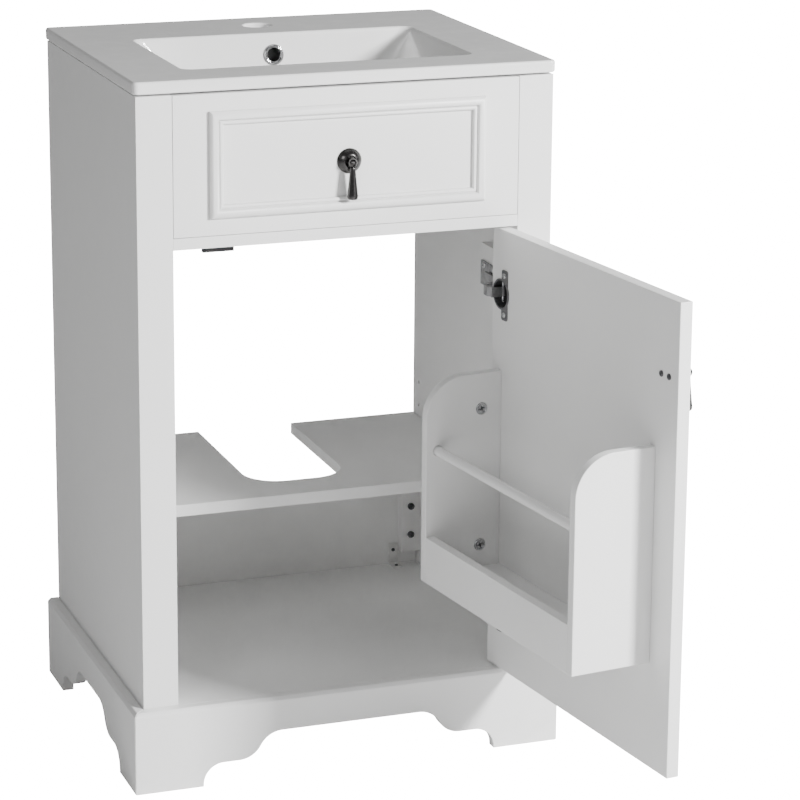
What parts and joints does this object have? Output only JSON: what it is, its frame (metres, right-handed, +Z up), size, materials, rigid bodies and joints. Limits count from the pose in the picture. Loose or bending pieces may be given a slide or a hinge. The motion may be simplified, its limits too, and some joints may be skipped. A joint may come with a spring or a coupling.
{
  "type": "bathroom vanity cabinet",
  "caption": "Free-standing bathroom vanity with a ceramic sink top, a false drawer front, an inset door with a storage rack inside, a cut-out shelf and a scrolled base.",
  "frame": {"origin": "On the floor, midway between the sides, under the middle of the closed door's thickness; this is the bottom centre of the whole cabinet with its door open.", "axes": "+Z up, -Y towards the front, +X towards the hinged side of the door (the right, seen from the front)"},
  "size_m": [0.5464, 0.8233, 0.86],
  "materials": {
    "ceramic": "glossy white glaze",
    "chrome": "polished",
    "white_lacquer": "satin white lacquer on board",
    "plain_wood": "bare softwood, sanded",
    "dark_bronze": "dark gunmetal, satin",
    "hinge_steel": "dark nickel plate",
    "zinc_steel": "zinc plate, satin",
    "white_plastic": "white, moulded",
    "black_plastic": "matt black, moulded"
  },
  "bodies": {
    "cabinet": {"left_side_panel": "white_lacquer", "right_side_panel": "white_lacquer", "left_stile": "white_lacquer", "right_stile": "white_lacquer", "front_rail": "white_lacquer", "drawer_front": "white_lacquer", "drawer_front_moulding": "white_lacquer", "drawer_front_blocks": "plain_wood", "top_stretcher": "white_lacquer", "upper_back_rail": "white_lacquer", "lower_back_panel": "white_lacquer", "back_cleats": "white_lacquer", "back_cleat_bolts": "dark_bronze", "back_brackets": "white_plastic", "back_bracket_screws": "dark_bronze", "bottom_board": "white_lacquer", "front_apron": "white_lacquer", "left_apron": "white_lacquer", "right_apron": "white_lacquer", "base_back_rail": "white_lacquer", "foot_blocks": "plain_wood", "shelf_pins": "zinc_steel", "door_stop": "black_plastic", "door_stop_screws": "dark_bronze", "hinge_blocks": "white_lacquer", "hinge_arms": "hinge_steel", "hinge_arm_screws": "zinc_steel", "sink_top": "ceramic", "overflow_ring": "chrome", "drawer_pull_rosette": "dark_bronze", "drawer_pull_pin": "dark_bronze", "drawer_pull_screws": "zinc_steel"},
    "door": {"door_panel": "white_lacquer", "door_moulding": "white_lacquer", "hinge_cups": "hinge_steel", "hinge_cup_screws": "zinc_steel", "hinge_pins": "zinc_steel", "rack_hinge_end": "white_lacquer", "rack_free_end": "white_lacquer", "rack_tray": "white_lacquer", "rack_front_board": "white_lacquer", "rack_cams": "zinc_steel", "rack_cam_bolts": "zinc_steel", "door_pull_rosette": "dark_bronze", "door_pull_pin": "dark_bronze", "door_pull_screws": "dark_bronze"},
    "rack_rod": {"rack_rod": "white_lacquer"},
    "shelf": {"shelf": "white_lacquer"},
    "drawer_pendant": {"drawer_pull_pendant": "dark_bronze"},
    "door_pendant": {"door_pull_pendant": "dark_bronze"}
  },
  "joints": [
    {"name": "door_hinge", "type": "hinge", "parent": "cabinet", "child": "door", "pos_m": [0.1995, -0.0005, 0.382], "axis": [0, 0, 1], "range_deg": [-97.2, 8]},
    {"name": "rack_rod_turn", "type": "hinge", "parent": "door", "child": "rack_rod", "pos_m": [0.12899, -0.19638, 0.395], "axis": [-0.1253, 0.9921, 0], "continuous": true},
    {"name": "shelf_lift", "type": "slide", "parent": "cabinet", "child": "shelf", "axis": [0, 0, 1], "range_m": [0, 0.045]},
    {"name": "drawer_pendant_swing", "type": "hinge", "parent": "cabinet", "child": "drawer_pendant", "pos_m": [0, -0.021, 0.754], "axis": [-1, 0, 0], "range_deg": [-0.5, 80]},
    {"name": "door_pendant_swing", "type": "hinge", "parent": "door", "child": "door_pendant", "pos_m": [0.26784, -0.37791, 0.571], "axis": [0.1253, -0.9921, 0], "range_deg": [-0.5, 80]}
  ]
}
